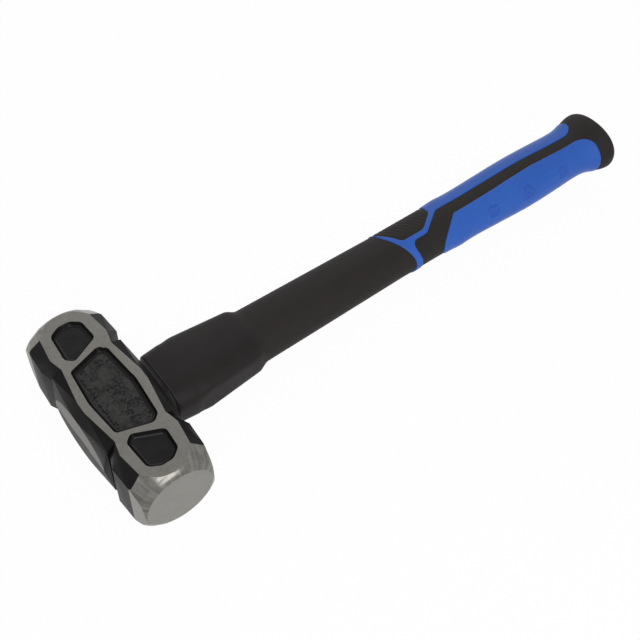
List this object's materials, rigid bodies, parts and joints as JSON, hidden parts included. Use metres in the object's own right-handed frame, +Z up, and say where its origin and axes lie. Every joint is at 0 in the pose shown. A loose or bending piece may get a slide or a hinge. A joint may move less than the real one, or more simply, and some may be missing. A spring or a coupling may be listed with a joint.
{
  "type": "lump hammer",
  "caption": "Short-handled double-faced lump hammer with a forged steel head and a jacketed handle carrying soft grip inlays, for striking chisels, stakes and masonry.",
  "frame": {"origin": "centre of the underside of the bounding box, on the plane of the lower ground cheek", "axes": "+X along the head from face to face, +Y along the handle from the head to the butt, +Z up through the cheeks"},
  "size_m": [0.1304, 0.4, 0.05],
  "materials": {
    "forged_steel": "black paint, with the cheeks, end bevels and striking faces ground bright",
    "eye_resin": "smooth cast resin",
    "core": "drawn glass-fibre rod",
    "jacket": "satin moulded plastic",
    "soft_blue": "soft matt overmould"
  },
  "bodies": {
    "root": {"hammer_head": "forged_steel", "eye_resin": "eye_resin", "handle_core": "core", "handle_jacket": "jacket", "thumb_grip": "soft_blue", "finger_grip": "soft_blue"}
  },
  "joints": []
}
